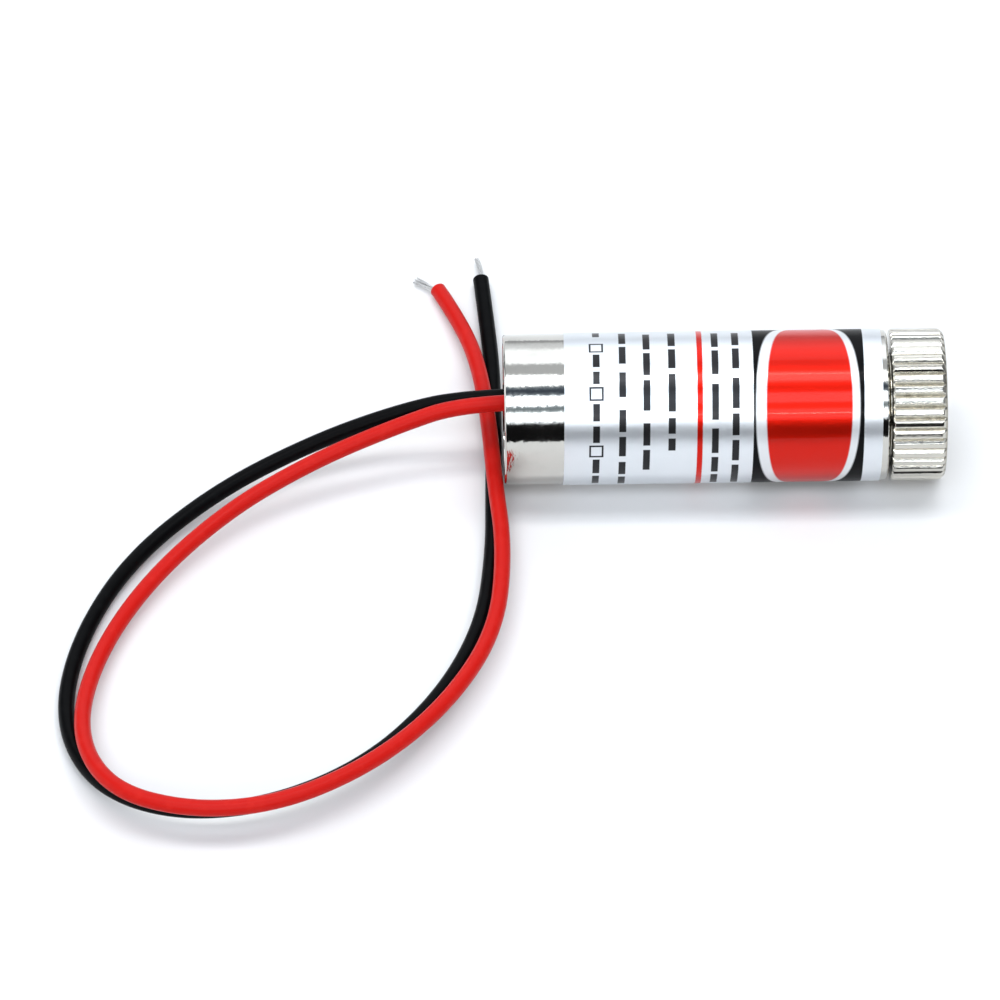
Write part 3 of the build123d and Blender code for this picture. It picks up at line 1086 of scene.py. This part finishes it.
@dataclass
class Piece:
    """One dressed piece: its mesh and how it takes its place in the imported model."""

    name: str
    finish: Finish
    body: Body
    slot: str
    stands_for: tuple[str, ...]
    sharp: float = 35.0
    stretch: Stretch | None = None

    def build(
        self, points: np.ndarray, faces: np.ndarray, caps: Sequence[np.ndarray] = ()
    ) -> bpy.types.Object:
        """Make the mesh, close its poles, turn its faces outwards and put it in the model.

        Args:
            points: Points in millimetres.
            faces: Quads.
            caps: Outlines of flat end faces.

        Returns:
            The finished object.
        """
        mesh = bpy.data.meshes.new(self.name)
        polygons = faces.tolist() + [cap.tolist() for cap in caps]
        mesh.from_pydata((points.reshape(-1, 3) * MM).tolist(), [], polygons)
        work = bmesh.new()
        work.from_mesh(mesh)
        bmesh.ops.remove_doubles(work, verts=work.verts, dist=WELD)
        bmesh.ops.recalc_face_normals(work, faces=work.faces)
        work.to_mesh(mesh)
        work.free()
        mesh.shade_smooth()
        mesh.set_sharp_from_angle(angle=math.radians(self.sharp))
        made = bpy.data.objects.new(self.name, mesh)
        return self.install(made)

    def install(self, made: bpy.types.Object) -> bpy.types.Object:
        """Dress an object, join it to its body and let it stand for its nodes.

        Args:
            made: The object.

        Returns:
            The same object.
        """
        bpy.context.scene.collection.objects.link(made)
        made.data.materials.append(self.finish.material())
        if self.stretch is None:
            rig.ride(made, self.body.value)
        else:
            start, end = self.stretch.start * MM, self.stretch.end * MM
            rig.blend(made, self.body.value, self.stretch.other.value, start=start, end=end)
        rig.replaces(made, *self.stands_for)
        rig.slot(made, self.slot)
        LOG.info("%s stands for %s", self.name, ", ".join(self.stands_for))
        return made


# Sub-assemblies


@dataclass
class Housing:
    """Turned barrel, the label wrapped round it and the potting in its rear end."""

    barrel_r: float = 6.0
    barrel_length: float = 30.6
    rear_chamfer: float = 0.12
    front_chamfer: float = 0.15
    chamber_r: float = 5.2
    chamber_depth: float = 20.4
    pin_hole_r: float = 2.17
    stem_back: float = 22.2
    stem_r: float = 2.82
    web_front: float = WEB_FRONT
    spring_bore_r: float = 4.2
    thread_start: float = 25.6
    thread_r: float = 4.5
    label_start: float = 4.75
    label_end: float = 30.05
    label_in: float = 6.02
    label_out: float = LABEL_R
    seam_angle: float = 200.0
    seam_width: float = 0.5
    label_middle: float = 360.0 + LABEL_FACING
    label_skew: float = LABEL_SKEW
    potting_face: float = 0.7
    potting_end: float = 3.3
    potting_r: float = 5.18
    potting_dish: float = 0.25
    wall_climb: float = 0.16
    wall_reach: float = 0.3
    collar_climb: float = 0.34
    collar_reach: float = 0.24
    lead_exits: tuple[tuple[float, float], ...] = ((0.2, 0.72), (1.4497, 0.0499))
    lead_r: float = 0.65
    segments: int = 512

    def build(self) -> list[bpy.types.Object]:
        """Build the three pieces."""
        return [self.barrel(), self.label(), self.potting()]

    def barrel(self) -> bpy.types.Object:
        """Tube with a stepped bore: one closed outline carried round the axis.

        Returns:
            The barrel.
        """
        mouth, soft, fine = 0.06, 0.05, 0.03
        outline = rounded(
            [
                (0.0, self.chamber_r, mouth),
                (0.0, self.barrel_r - self.rear_chamfer, soft),
                (self.rear_chamfer, self.barrel_r, soft),
                (self.barrel_length - self.front_chamfer, self.barrel_r, soft),
                (self.barrel_length, self.barrel_r - self.front_chamfer, soft),
                (self.barrel_length, self.thread_r, fine),
                (self.thread_start, self.thread_r, fine),
                (self.thread_start, self.spring_bore_r, fine),
                (self.web_front, self.spring_bore_r, fine),
                (self.web_front, self.stem_r, fine),
                (self.stem_back, self.stem_r, fine),
                (self.stem_back, self.pin_hole_r, fine),
                (self.chamber_depth, self.pin_hole_r, fine),
                (self.chamber_depth, self.chamber_r, fine),
            ]
        )
        points = turned(*outline.T, all_round(self.segments))
        faces = grid_faces(len(outline), self.segments, True, True)
        return Piece("barrel_shell", NICKEL, Body.HOUSING, "nickel", ("barrel",)).build(points, faces)

    def label(self) -> bpy.types.Object:
        """Thin sheet: a flat outline carried round the axis from one edge of the seam to the other,
        moved along by skew·r·(a - middle) because the label is laid on a little askew.

        Returns:
            The label.
        """
        fine, steps = 0.012, 4
        outline = rounded(
            [
                (self.label_start, self.label_in, 0.0),
                (self.label_start, self.label_out, fine),
                (self.label_end, self.label_out, fine),
                (self.label_end, self.label_in, 0.0),
            ],
            steps,
        )
        half = self.seam_width / self.label_out / 2
        start = math.radians(self.seam_angle) + half
        angles = np.linspace(start, start + 2 * np.pi - 2 * half, self.segments)
        points = turned(*outline.T, angles)
        points[..., 0] += self.label_skew * self.label_out * (angles - math.radians(self.label_middle))
        faces = grid_faces(len(outline), self.segments, True, False)
        first = np.arange(len(outline)) * self.segments
        caps = (first, first[::-1] + self.segments - 1)
        piece = Piece("label_sheet", FOIL, Body.HOUSING, "foil", ("foil_label",))
        return piece.build(points, faces, caps)

    def potting(self) -> bpy.types.Object:
        """Filled rear end: x = face + dish·(1 - (r/R)²), drawn up by exp(-distance) at the wall
        and round each lead, then closed by the side and the inner end.

        Returns:
            The potting.
        """
        rings, segments = 64, 192
        radius = np.linspace(0.0, self.potting_r, rings)
        angles = all_round(segments)
        reach = np.broadcast_to(radius[:, None], (rings, segments))
        across, above = -reach * np.cos(angles), reach * np.sin(angles)
        depth = self.potting_face + self.potting_dish * (1 - (reach / self.potting_r) ** 2)
        depth = depth - self.wall_climb * np.exp(-(self.potting_r - reach) / self.wall_reach)
        for side, up in self.lead_exits:
            away = np.maximum(np.hypot(across - side, above - up) - self.lead_r, 0.0)
            depth = depth - self.collar_climb * np.exp(-away / self.collar_reach)
        face = np.stack([depth + REAR_X, across, above + AXIS_Z], axis=-1)
        back = turned(np.full(2, self.potting_end), np.array([self.potting_r, 0.0]), angles)
        points = np.concatenate([face, back])
        faces = grid_faces(rings + 2, segments, False, True)
        piece = Piece("rear_fill", RESIN, Body.HOUSING, "potting", ("rear_potting",))
        return piece.build(points, faces)


@dataclass
class FocusingSpring:
    """Spring between the web in the barrel and the head's neck, which takes up the thread's slack."""

    web_front: float = WEB_FRONT
    neck_end: float = NECK_END
    wire_r: float = 0.225
    mean_r: float = 3.85
    turns: float = 3.0
    seat: float = 0.01
    steps: int = 217
    sides: int = 16

    def build(self) -> list[bpy.types.Object]:
        """Wire along a helix: x rises evenly while the angle falls from 90 degrees, turn by turn.

        Returns:
            The spring, whose rear end stays on the web while its front end follows the neck.
        """
        t = np.linspace(0.0, 1.0, self.steps)
        angle = np.pi / 2 - 2 * np.pi * self.turns * t
        inset = self.seat + self.wire_r
        x = REAR_X + self.web_front + inset + (self.neck_end - self.web_front - 2 * inset) * t
        y, z = -self.mean_r * np.cos(angle), AXIS_Z + self.mean_r * np.sin(angle)
        path = np.stack([x, y, z], axis=-1)[None]
        points, faces = swept(path, self.wire_r, self.sides, BEAM)
        web, neck = (Vector((REAR_X + place, 0.0, AXIS_Z)) for place in (self.web_front, self.neck_end))
        piece = Piece(
            "coil_spring", SPRING_WIRE, Body.HOUSING, "spring_steel", ("focus_spring",), sharp=60.0,
            stretch=Stretch(Body.SPRING, web, neck),
        )
        return [piece.build(points, faces)]


@dataclass
class FocusingHead:
    """Fluted head with its threaded neck, and the lens in it."""

    start: float = RIM_BACK
    end: float = 35.2
    stop_clearance: float = 0.02
    rim_r: float = 6.05
    rear_chamfer: float = 0.18
    front_chamfer: float = 0.36
    flutes: int = 40
    flute_depth: float = 0.3
    flute_slope: float = 0.9333
    flute_soften: float = 0.014
    flute_steps: tuple[float, ...] = (0.03, 0.09, 0.16, 0.22, 0.26, 0.29, 0.33, 0.39)
    neck_end: float = NECK_END
    neck_r: float = 4.45
    neck_chamfer: float = 0.35
    relief_width: float = 0.6
    relief_r: float = 4.2
    thread_pitch: float = 0.5
    thread_depth: float = 0.24
    thread_rows: int = 71
    thread_lead: float = 0.12
    run_in: float = 0.3
    run_in_depth: float = 0.2
    pocket_r: float = 3.3
    aperture_r: float = 2.8
    cone_r: float = 4.1
    shoulder: float = 32.1
    lens_r: float = 3.25
    lens_edge: float = 1.5
    dome_r: float = 2.7
    dome_height: float = 0.9
    lens_bevel: Point = (0.01, 0.06, 0.05)

    def build(self) -> list[bpy.types.Object]:
        """Build the head and its lens."""
        return [self.head(), self.lens()]

    def flute_angles(self) -> tuple[np.ndarray, np.ndarray]:
        """Angles round the head, closer at the edges of each flute.

        Returns:
            The angles, and the radius of the flutes' walls at each of them.
        """
        pitch = 2 * np.pi * self.rim_r / self.flutes
        half = np.array(self.flute_steps)
        arc = np.concatenate([-half[::-1], [0.0], half, [pitch / 2]])
        middles = np.arange(self.flutes)[:, None] * pitch
        angles = ((middles + arc[None, :]) / self.rim_r).ravel()
        wall = self.rim_r - self.flute_depth + np.abs(arc) / self.flute_slope
        return angles, np.tile(wall, self.flutes)

    def head(self) -> bpy.types.Object:
        """Turned outline cut back to the flutes: -k·log(exp(-r/k) + exp(-wall/k)) is the smaller
        of both radii with a soft edge; behind the rim a triangle wave in x and angle is the thread.

        Returns:
            The head.
        """
        fine, soft, bore, nose = 0.03, 0.05, 0.06, 0.12
        back = self.start + self.stop_clearance
        cone_end = self.end - (self.cone_r - self.aperture_r)
        body = rounded(
            [
                (back, self.relief_r, fine),
                (back, self.rim_r - self.rear_chamfer, soft),
                (self.start + self.rear_chamfer, self.rim_r, soft),
                (self.end - self.front_chamfer, self.rim_r, nose),
                (self.end, self.rim_r - self.front_chamfer, nose),
                (self.end, self.cone_r, bore),
                (cone_end, self.aperture_r, bore),
                (self.shoulder, self.aperture_r, fine),
                (self.shoulder, self.pocket_r, fine),
                (self.neck_end, self.pocket_r, fine),
                (self.neck_end, self.neck_r - self.neck_chamfer, fine),
            ]
        )
        count, relief = self.thread_rows, self.start - self.relief_width
        thread_x = np.linspace(self.neck_end + self.thread_lead, relief, count)
        outline_x = np.concatenate([body[:, 0], thread_x, [relief + bore]])
        outline_r = np.concatenate([body[:, 1], np.full(count, self.neck_r), [self.relief_r]])
        angles, wall = self.flute_angles()
        k = self.flute_soften
        both = np.stack(np.broadcast_arrays(outline_r[:, None], wall[None, :]))
        least = both.min(axis=0)
        radius = least - k * np.log(np.exp(-(both - least) / k).sum(axis=0))
        phase = (thread_x[:, None] / self.thread_pitch - angles[None, :] / (2 * np.pi)) % 1.0
        groove = 1 - np.abs(2 * phase - 1)
        cut_in = np.minimum((thread_x - thread_x[0]) / self.run_in, 1.0)[:, None]
        depth = self.thread_depth * groove + self.run_in_depth * (1 - cut_in)
        radius[len(body) : len(body) + count] = self.neck_r - depth
        points = turned(outline_x, radius, angles)
        faces = grid_faces(len(outline_x), len(angles), True, True)
        piece = Piece("fluted_head", HEAD_NICKEL, Body.HEAD, "nickel", ("focus_knob",), sharp=50.0)
        return piece.build(points, faces)

    def lens(self) -> bpy.types.Object:
        """Lens: flat behind, x = shoulder + h·(1 - (r/R)²) on the dome, with a flat rim.

        Returns:
            The lens.
        """
        rings, segments = 40, 160
        dome = np.linspace(0.0, self.dome_r, rings)
        dome_x = self.shoulder + self.dome_height * (1 - (dome / self.dome_r) ** 2)
        step, bevel, inset = self.lens_bevel
        front, back, rim = self.shoulder, self.shoulder - self.lens_edge, self.lens_r
        x = np.concatenate([dome_x, [front - step, front - bevel, back + bevel, back, back]])
        radius = np.concatenate([dome, [rim - inset, rim, rim, rim - inset, 0.0]])
        points = turned(x, radius, all_round(segments))
        faces = grid_faces(len(x), segments, False, True)
        piece = Piece("domed_lens", GLASS, Body.HEAD, "lens_glass", ("collimating_lens",))
        return piece.build(points, faces)


@dataclass
class Lead:
    """One supply lead: insulation along its route and a stripped end of seven strands."""

    name: str
    finish: Finish
    slot: str
    nodes: tuple[str, str]
    route: Sequence[Point]
    bare: Sequence[Point]
    length: float
    tail: float
    spread: float
    twist: float
    diameter: float = 1.3
    strand_r: float = 0.068
    strands: int = 7
    flatness: float = 0.25
    hidden: float = 0.7
    inner_end: float = 3.8
    curve_order: int = 3
    curve_steps: int = 16
    round_steps: int = 7

    def build(self) -> list[bpy.types.Object]:
        """Returns:
            Both pieces.
        """
        sleeve, strands = self.sleeve(), self.strand_piece()
        leaves = (REAR_X * MM, self.route[0][1] * MM, self.route[0][2] * MM)
        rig.cord(
            sleeve, exit=leaves, length=self.length * MM, diameter=self.diameter * MM,
            far_end="bare", stiffness="medium", lay="loose", with_pieces=[strands],
        )
        return [sleeve, strands]

    def sleeve(self) -> bpy.types.Object:
        """Insulation: a NURBS curve with the route's points as its control points.

        Returns:
            The insulation.
        """
        curve = bpy.data.curves.new(self.name, "CURVE")
        curve.dimensions = "3D"
        spline = curve.splines.new("NURBS")
        points = np.column_stack([np.array(self.route) * MM, np.ones(len(self.route))])
        spline.points.add(len(points) - 1)
        spline.points.foreach_set("co", points.ravel())
        spline.order_u = self.curve_order
        spline.use_endpoint_u = True
        spline.resolution_u = self.curve_steps
        curve.bevel_depth = self.diameter / 2 * MM
        curve.bevel_resolution = self.round_steps
        curve.use_fill_caps = True
        made = bpy.data.objects.new(self.name, curve)
        return Piece(self.name, self.finish, Body.HOUSING, self.slot, self.nodes[:1]).install(made)

    def strand_places(self) -> tuple[np.ndarray, np.ndarray]:
        """Places of the strands in the bundle: one in the middle of six others.

        Returns:
            Distance of each strand from the middle, and its angle about it.
        """
        outer = self.strands - 1
        ring = np.array([0.0] + [1.0] * outer) * 2 * self.strand_r
        return ring, np.concatenate([[0.0], all_round(outer)])

    def strand_paths(self) -> np.ndarray:
        """Middles of the strands at the stripped end: p(1 - t)² + 2q·t(1 - t) + s·t², each beside
        the next, turning about the middle and spreading with t³.

        Returns:
            Points of shape (strand, point, 3).
        """
        before, end = np.array(self.route[-2]), np.array(self.route[-1])
        along = (end - before) / np.linalg.norm(end - before)
        p, q, s = end - along * self.hidden, np.array(self.bare[0]), np.array(self.bare[1])
        steps = 28
        t = np.linspace(0.0, 1.0, steps)[:, None]
        middle = p * (1 - t) ** 2 + 2 * q * t * (1 - t) + s * t**2
        level, other = square_to(middle, UP)
        ring, turn = (values[:, None, None] for values in self.strand_places())
        turn = turn + self.twist * 2 * np.pi * t
        wide = ring * (1 + self.spread * t**3)
        tall = ring * (1 + self.flatness * self.spread * t**3)
        return middle + wide * np.cos(turn) * level + tall * np.sin(turn) * other

    def strand_piece(self) -> bpy.types.Object:
        """Strands at the stripped end, and the straight tail inside the barrel.

        Returns:
            All the strands as one piece.
        """
        ends = self.strand_paths()
        start = np.array([REAR_X + self.inner_end, self.route[0][1], self.route[0][2]])
        ring, turn = self.strand_places()
        offsets = np.column_stack([ring * 0.0, ring * np.cos(turn), ring * np.sin(turn)])
        steps = 6
        run = np.linspace(-self.hidden, self.tail, steps)[:, None] * np.array(BEAM)
        tails = start + offsets[:, None] + run[None]
        end_points, end_faces = swept(ends, self.strand_r)
        tail_points, tail_faces = swept(tails, self.strand_r)
        points = np.concatenate([end_points, tail_points])
        faces = np.concatenate([end_faces, tail_faces + len(end_points)])
        name = self.name + "_strands"
        piece = Piece(name, TINNED, Body.HOUSING, "tinned", self.nodes[1:], sharp=60.0)
        return piece.build(points, faces)


RED_LEAD = Lead(
    "red_wire",
    RED_SLEEVE,
    "red_pvc",
    ("red_lead", "red_conductor"),
    route=(
        (-13.8, 0.2, 6.8), (-20.6, 0.2, 6.8), (-26.3, -1.02, 5.4), (-33.12, -3.23, 3.7),
        (-39.94, -7.17, 2.3), (-46.14, -13.81, 1.5), (-50.16, -21.77, 1.4), (-51.36, -30.19, 2.35),
        (-48.67, -36.67, 3.35), (-42.45, -39.11, 3.6), (-35.56, -38.47, 3.5), (-28.49, -34.51, 3.3),
        (-22.69, -28.36, 2.9), (-18.57, -20.41, 2.5), (-17.73, -11.57, 2.3), (-18.4, -3.9, 2.15),
        (-18.78, 3.1, 2.1), (-19.63, 10.2, 1.6), (-21.35, 15.7, 0.9), (-22.62, 18.52, 0.65),
    ),
    bare=((-23.2, 18.95, 0.56), (-24.45, 19.85, 0.38)),
    length=139.7,
    tail=2.9,
    spread=1.4,
    twist=0.12,
)
BLACK_LEAD = Lead(
    "black_wire",
    BLACK_SLEEVE,
    "black_pvc",
    ("black_lead", "black_conductor"),
    route=(
        (-13.8, 1.4497, 6.1299), (-20.6, 1.4497, 6.1299), (-26.3, 1.03, 4.8), (-33.12, -0.55, 3.0),
        (-40.74, -4.26, 1.5), (-47.63, -10.88, 0.8), (-51.66, -19.47, 0.65), (-52.68, -27.74, 0.7),
        (-49.86, -34.72, 1.45), (-43.84, -38.13, 2.15), (-36.36, -37.64, 2.3), (-28.85, -33.57, 2.1),
        (-23.05, -26.6, 1.7), (-19.58, -18.62, 1.25), (-18.6, -10.38, 0.85), (-18.5, -3.7, 0.65),
        (-18.32, 2.8, 0.65), (-18.32, 9.4, 0.65), (-18.66, 14.5, 0.65), (-19.08, 19.6, 0.65),
    ),
    bare=((-19.02, 20.9, 0.62), (-19.4, 22.05, 0.5)),
    length=141.8,
    tail=1.7,
    spread=0.0,
    twist=0.8,
)


# Studio


@dataclass
class Studio:
    """Camera, floor and the light tent whose long panels the metal reflects."""

    image: int = 1000
    elevation: float = 48.0
    azimuth: float = -1.1
    distance: float = 620.0
    scale: float = 0.08
    sensor: float = 36.0
    anchor: Point = (REAR_X, 0.0, AXIS_Z)
    anchor_pixel: tuple[float, float] = (503.5, 409.9)
    floor_half: float = 1500.0
    floor_front: float = 150.0
    floor_drop: float = 0.005
    white: Colour = (1.80, 1.88, 1.99)
    low: Colour = (2.78, 3.0, 3.29)
    front: Colour = (3.52, 3.8, 4.16)
    above: Colour = (5.3, 5.6, 5.95)
    lamp: Colour = (27.7, 26.0, 23.4)
    top_lamp: Colour = (21.3, 20.0, 18.0)
    dark: Colour = (0.008, 0.008, 0.009)
    blue: Colour = (0.52, 0.60, 0.66)
    blue_core: Colour = (0.24, 0.30, 0.34)
    deep_blue: Colour = (0.26, 0.31, 0.37)
    deep_blue_core: Colour = (0.07, 0.09, 0.125)
    grey: Colour = (0.70, 0.73, 0.77)
    back: Colour = (1.2, 1.25, 1.33)
    low_back: Colour = (0.86, 0.9, 0.95)
    far: Colour = (0.49, 0.51, 0.54)
    ramp_top: float = 28.0
    panel_ends: Span = (0.3, 0.7)
    past_ends: float = 0.15
    left_end: Colour = (0.40, 0.41, 0.43)
    left_edge: Span = (0.8, 0.93)

    def build(self) -> list[bpy.types.Object]:
        """Set up the camera, the light and the floor.

        Returns:
            The camera and the floor.
        """
        bpy.context.scene.view_settings.view_transform = "Standard"
        self.light()
        return [self.camera(), self.floor()]

    def camera(self) -> bpy.types.Object:
        """Camera whose picture has the anchor at its pixel, at the given scale and angles.

        Returns:
            The camera.
        """
        up_angle, turn = math.radians(self.elevation), math.radians(self.azimuth)
        back = Vector((
            math.sin(turn) * math.cos(up_angle),
            -math.cos(turn) * math.cos(up_angle),
            math.sin(up_angle),
        ))
        right = Vector((math.cos(turn), math.sin(turn), 0.0))
        up = back.cross(right)
        middle = self.image / 2
        aside = (self.anchor_pixel[0] - middle) * self.scale
        above = (middle - self.anchor_pixel[1]) * self.scale
        place = Vector(self.anchor) - right * aside - up * above + back * self.distance
        data = bpy.data.cameras.new("camera")
        data.sensor_width = self.sensor
        data.lens = self.sensor * self.distance / (self.image * self.scale)
        made = bpy.data.objects.new("camera", data)
        made.matrix_world = Matrix.Translation(place * MM) @ Matrix((right, up, back)).transposed().to_4x4()
        bpy.context.scene.collection.objects.link(made)
        bpy.context.scene.camera = made
        return made

    def panels(self) -> list[tuple[float, Colour]]:
        """The tent from the front edge of the table over the top to its far edge.

        Returns:
            Angle about the X axis in degrees and colour, at each end of every panel.
        """
        bands = (
            (24.5, 24.5, self.dark),
            (30.2, 35.3, self.low),
            (35.7, 36.3, self.lamp),
            (36.7, 41.2, self.low),
            (44.2, 44.2, self.blue),
            (47.9, 47.9, self.blue_core),
            (51.3, 51.3, self.blue),
            (54.2, 66.0, self.front),
            (69.3, 69.3, self.deep_blue),
            (74.0, 77.0, self.deep_blue_core),
            (81.6, 81.6, self.deep_blue),
            (84.3, 84.3, self.white),
            (88.0, 96.7, self.above),
            (97.0, 97.5, self.top_lamp),
            (97.8, 99.0, self.above),
            (101.4, 101.4, self.white),
            (103.4, 120.0, self.grey),
            (123.5, 150.0, self.white),
            (157.0, 157.0, self.back),
            (170.0, 170.0, self.low_back),
            (174.0, 174.0, self.far),
        )
        return [(angle, colour) for low, high, colour in bands for angle in dict.fromkeys((low, high))]

    def light(self) -> None:
        """World as a tent of panels along the beam: brightness by the angle about the X axis,
        atan2(z, -y), falling off past the panels' ends, with a plain sheet across the left end.
        The camera, and what shows through the lens, sees plain white."""
        world = bpy.data.worlds.new("tent")
        bpy.context.scene.world = world
        world.use_nodes = True
        graph = Graph(world.node_tree)
        sight = Field(graph, graph.node("ShaderNodeTexCoord").outputs["Generated"])
        x, y, z = graph.parts(sight)
        angle = graph.calculate("ARCTAN2", z.maximum(0.0), y * -1.0) / math.pi
        stops = [(a / 180.0, tuple(c / self.ramp_top for c in rgb)) for a, rgb in self.panels()]
        ramp = graph.node("ShaderNodeValToRGB", {"stops": stops}, {"Fac": angle})
        strength = self.ramp_top - abs(x).rise(*self.panel_ends) * self.ramp_top * (1 - self.past_ends)
        colour = graph.mix(
            (x * -1.0).rise(*self.left_edge), Field(graph, ramp.outputs["Color"]), self.left_end
        )
        tent = graph.node("ShaderNodeBackground", None, {"Color": colour, "Strength": strength})
        plain = graph.node("ShaderNodeBackground", None, {"Color": (1.0, 1.0, 1.0), "Strength": 1.0})
        path = graph.node("ShaderNodeLightPath")
        seen = Field(graph, path.outputs["Is Camera Ray"]).maximum(
            Field(graph, path.outputs["Is Transmission Ray"])
        )
        both = graph.node("ShaderNodeMixShader", None, {0: seen})
        graph.tree.links.new(tent.outputs[0], both.inputs[1])
        graph.tree.links.new(plain.outputs[0], both.inputs[2])
        graph.finish(both, "ShaderNodeOutputWorld")

    def floor(self) -> bpy.types.Object:
        """White table top: one flat face just under the object, set up as stage.

        Returns:
            The table top.
        """
        half, front, height = self.floor_half, self.floor_front, -self.floor_drop
        corners = np.array(
            [(-half, -front, height), (half, -front, height), (half, half, height), (-half, half, height)]
        )
        mesh = bpy.data.meshes.new("table_top")
        mesh.from_pydata((corners * MM).tolist(), [], [(0, 1, 2, 3)])
        made = bpy.data.objects.new("table_top", mesh)
        bpy.context.scene.collection.objects.link(made)
        made.data.materials.append(TABLE.material())
        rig.stage(made)
        return made


def dress_carried(nodes: Mapping[str, bpy.types.Object]) -> None:
    """Give each CAD node that stays its finish.

    Args:
        nodes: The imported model's objects by node name.
    """
    for name, finish in CARRIED.items():
        data = nodes[name].data
        data.materials.clear()
        data.materials.append(finish.material())
        LOG.info("%s carried over in %s", name, finish.name)


def main() -> None:
    """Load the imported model, build the pieces and write both boxes."""
    logging.basicConfig(level=logging.INFO, format="%(name)s: %(message)s")
    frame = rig.load()
    cad_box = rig.bounds()
    Studio().build()
    made: list[bpy.types.Object] = []
    for assembly in (RED_LEAD, BLACK_LEAD, Housing(), FocusingSpring(), FocusingHead()):
        made.extend(assembly.build())
    dress_carried(frame["nodes"])
    for piece in made:
        LOG.info("%s rides on %s", piece.name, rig.body_of(piece))
    bpy.context.view_layer.update()
    boxes = {"cad": cad_box, "visual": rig.bounds()}
    with open(SIZE_FILE, "w") as out:
        json.dump({name: [list(low), list(high)] for name, (low, high) in boxes.items()}, out)


if __name__ == "__main__":
    main()
